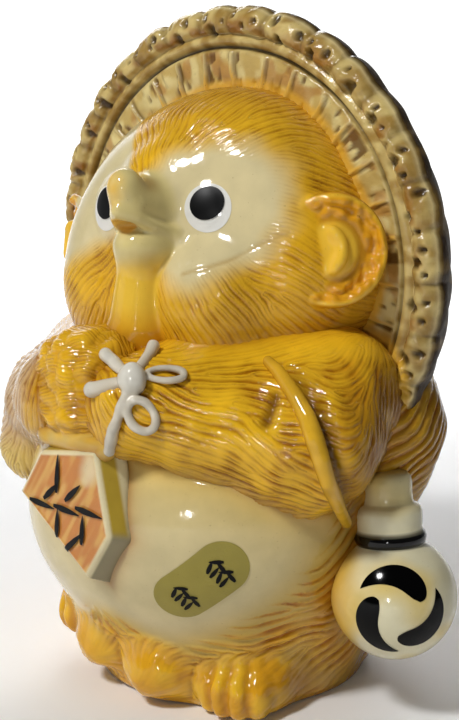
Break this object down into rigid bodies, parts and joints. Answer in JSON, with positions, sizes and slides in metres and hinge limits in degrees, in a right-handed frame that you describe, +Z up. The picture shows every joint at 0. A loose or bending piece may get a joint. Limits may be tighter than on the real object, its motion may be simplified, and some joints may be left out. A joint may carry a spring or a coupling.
{
  "type": "shigaraki tanuki statue",
  "caption": "Standing lucky tanuki figure in glazed stoneware, with a straw hat behind its head, clasped paws, a plaque on its belly and a flask at its side",
  "frame": {"origin": "centre of the flat underside, on the surface that the figure stands on", "axes": "+Z up, the figure faces -Y, its own left side, with the flask, is +X"},
  "size_m": [0.1548, 0.122, 0.1968],
  "materials": {
    "yellow_glaze": "glossy glaze, yellow and cream"
  },
  "bodies": {
    "root": {"tanuki_figure": "yellow_glaze"}
  },
  "joints": []
}
